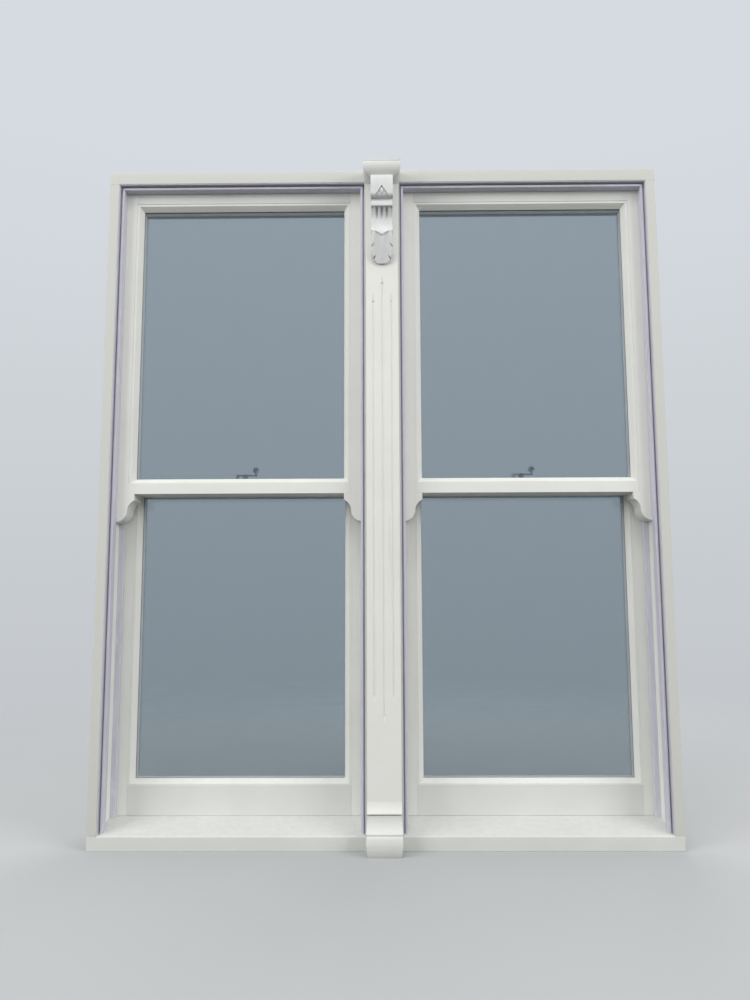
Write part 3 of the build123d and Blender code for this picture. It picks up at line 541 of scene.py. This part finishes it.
def screwMesh(name, spots, radius, settings=screwLook):
    work = bmesh.new()
    half = radius * settings["slotShare"] / 2
    floor = settings["height"] - settings["slotDepth"]
    rim, crown, flats = radius * settings["rimShare"], settings["crownShare"], settings["flats"]
    start = math.asin(half / radius)
    sweep = [start + (math.pi - 2 * start) * i / (flats // 2) for i in range(flats // 2 + 1)]
    for spot, turn in spots:
        seat = spot @ Matrix.Rotation(turn, 4, "Z")
        bmesh.ops.create_cone(work, cap_ends=True, segments=flats, radius1=radius, radius2=radius,
                              depth=floor, matrix=seat @ Matrix.Translation((0, 0, floor / 2)))
        for side in (1, -1):  # the two halves beside the slot
            outline = [(rim * math.cos(a), side * rim * math.sin(a)) for a in sweep]
            low = [work.verts.new(seat @ Vector((px, py, floor))) for px, py in outline]
            high = [work.verts.new(seat @ Vector((px * crown, py * crown + side * half * (1 - crown),
                                                  settings["height"]))) for px, py in outline]
            for ring in zip(low, low[1:] + low[:1], high[1:] + high[:1], high):
                work.faces.new(ring[::side])
            work.faces.new(high[::side])
    bmesh.ops.recalc_face_normals(work, faces=work.faces)
    mesh = bpy.data.meshes.new(name)
    work.to_mesh(mesh)
    work.free()
    return mesh


def screws(name, body, spots, radius):
    mesh = screwMesh(name, spots, radius)
    mesh.materials.append(chrome)
    piece = linked(name, mesh)
    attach(piece, body)


# Screws on a plate that lies flat
def flatSpots(node, seatLevel, settings):
    low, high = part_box(node)
    middle = (low + high) / 2
    return [(Matrix.Translation((middle.x + dx, middle.y, seatLevel + settings["plate"])), turn)
            for dx, turn in settings["places"]]


# Four screws on each of the two lifts, which stand upright
def liftSpots(node, settings=liftScrews):
    low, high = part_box(node)
    upright = Matrix.Rotation(math.radians(-90), 4, "X")
    return [(Matrix.Translation((liftX + dx, low.y + settings["plate"], low.z + dz)) @ upright, turn + liftX)
            for liftX in (low.x + settings["inset"], high.x - settings["inset"])
            for dx in (-settings["spread"], settings["spread"])
            for dz, turn in settings["rows"]]


for side in ("left", "right"):
    lower, upper = side + "_lower_sash", side + "_upper_sash"
    base, keep = side + "_catch_base", side + "_catch_keep"
    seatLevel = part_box(base)[0].z
    screws(side + "_catch_screws", lower, flatSpots(base, seatLevel, catchScrews), catchScrews["radius"])
    screws(side + "_keep_screws", upper, flatSpots(keep, seatLevel, keepScrews), keepScrews["radius"])
    screws(side + "_lift_screws", lower, liftSpots(side + "_sash_lifts"), liftScrews["radius"])
print("screws set")

# Floor that fades into the pale background, so that no horizon shows through the glass
backdrop = {
    "low": tone(196, 200, 204),  # background near the floor and high up
    "high": tone(214, 219, 225),
    "floor": tone(180, 182, 183),
    "bounce": tone(90, 90, 89),  # what the floor sends back up
    "reach": 12,
    "nearEdge": 0.9,  # the floor fades between these distances
    "farEdge": 3.2,
    "ground": 0.05,  # light on the object from below, level and above
    "level": 0.84,
    "above": 0.78,
}


def makeFloor(settings=backdrop):
    mesh = bpy.data.meshes.new("floor")
    reach = settings["reach"]
    corners = [(-reach, -reach, 0), (reach, -reach, 0), (reach, reach, 0), (-reach, reach, 0)]
    mesh.from_pydata(corners, [], [(0, 1, 2, 3)])
    finish = Finish("floorPaint")
    x, y = finish.parts(finish.place())[:2]
    away = finish.node("Math", {"operation": "SQRT"}, {0: x * x + y * y})
    fade = finish.rise(away, settings["nearEdge"], settings["farEdge"])
    looked = finish.looked()
    colour = finish.mix(looked, settings["bounce"], settings["floor"])
    matt = finish.node("BsdfDiffuse", {}, {"Color": colour})
    clear = finish.node("BsdfTransparent", {}, {"Color": (1.0, 1.0, 1.0)})
    shader = finish.node("MixShader", {}, {0: fade * looked, 1: matt, 2: clear})
    mesh.materials.append(finish.done(shader))
    floor = linked("floor", mesh)


def makeWorld(settings=backdrop):
    world = bpy.context.scene.world or bpy.data.worlds.new("world")
    bpy.context.scene.world = world
    sky = Finish("sky", world)
    z = sky.parts(sky.node("TexCoord", {}, {}, output="Generated"))[2]
    ground, level, above = settings["ground"], settings["level"], settings["above"]
    light = ground + sky.rise(z, -0.12, 0.12) * (level - ground) + sky.rise(z, 0.1, 0.9) * (above - level)
    lit = sky.node("CombineXYZ", {}, {0: light, 1: light, 2: light})
    shown = sky.mix(sky.rise(z, -0.1, 0.5), settings["low"], settings["high"])
    colour = sky.mix(sky.looked(), lit, shown)
    sky.done(sky.node("Background", {}, {"Color": colour, "Strength": 1.0}), "OutputWorld")


makeFloor()
makeWorld()
print("floor and background made")

# Soft studio lamps. Only the one above leaves highlights.
lamps = {
    "above": {"at": (-0.4, -2.4, 4.8), "aim": (0.0, 0.0, 1.0), "size": 1.2, "power": 34, "sparkles": True},
    "left": {"at": (-4.2, -3.0, 2.6), "aim": (0.0, 0.0, 0.9), "size": 3.0, "power": 134, "sparkles": False},
    "right": {"at": (4.2, -3.0, 2.6), "aim": (0.0, 0.0, 0.9), "size": 3.0, "power": 130, "sparkles": False},
    "behind": {"at": (0.6, 3.2, 2.6), "aim": (0.0, 0.0, 0.8), "size": 2.4, "power": 44, "sparkles": False},
}
for name, lamp in lamps.items():
    light = bpy.data.lights.new(name, "AREA")
    light.shape = "SQUARE"
    light.size = lamp["size"]
    light.energy = lamp["power"]
    holder = linked(name, light)
    holder.visible_camera = holder.visible_transmission = False
    holder.visible_glossy = lamp["sparkles"]
    holder.location = lamp["at"]
    aim = Vector(lamp["aim"]) - Vector(lamp["at"])
    holder.rotation_euler = aim.to_track_quat("-Z", "Y").to_euler()
print("lamps set")

# Camera at the photograph's place, worked out for a 750 x 1000 picture
view = {
    "at": (-0.0023, -1.9874, 0.6057),
    "turn": 0.532,  # degrees towards the left
    "tilt": 6.600,
    "roll": 0.197,
    "lens": 28.08,
    "sensor": 36,
}
camera = bpy.data.cameras.new("camera")
camera.lens = view["lens"]
camera.sensor_width = view["sensor"]
camera.sensor_fit = "AUTO"
eye = linked("camera", camera)
turned = (Matrix.Rotation(math.radians(view["turn"]), 4, "Z")
          @ Matrix.Rotation(math.radians(view["tilt"]), 4, "X")
          @ Matrix.Rotation(math.radians(view["roll"]), 4, "Y")
          @ Matrix.Rotation(math.radians(90), 4, "X"))
eye.matrix_world = Matrix.Translation(view["at"]) @ turned
bpy.context.scene.camera = eye
bpy.context.scene.view_settings.view_transform = "Standard"
print("camera set")
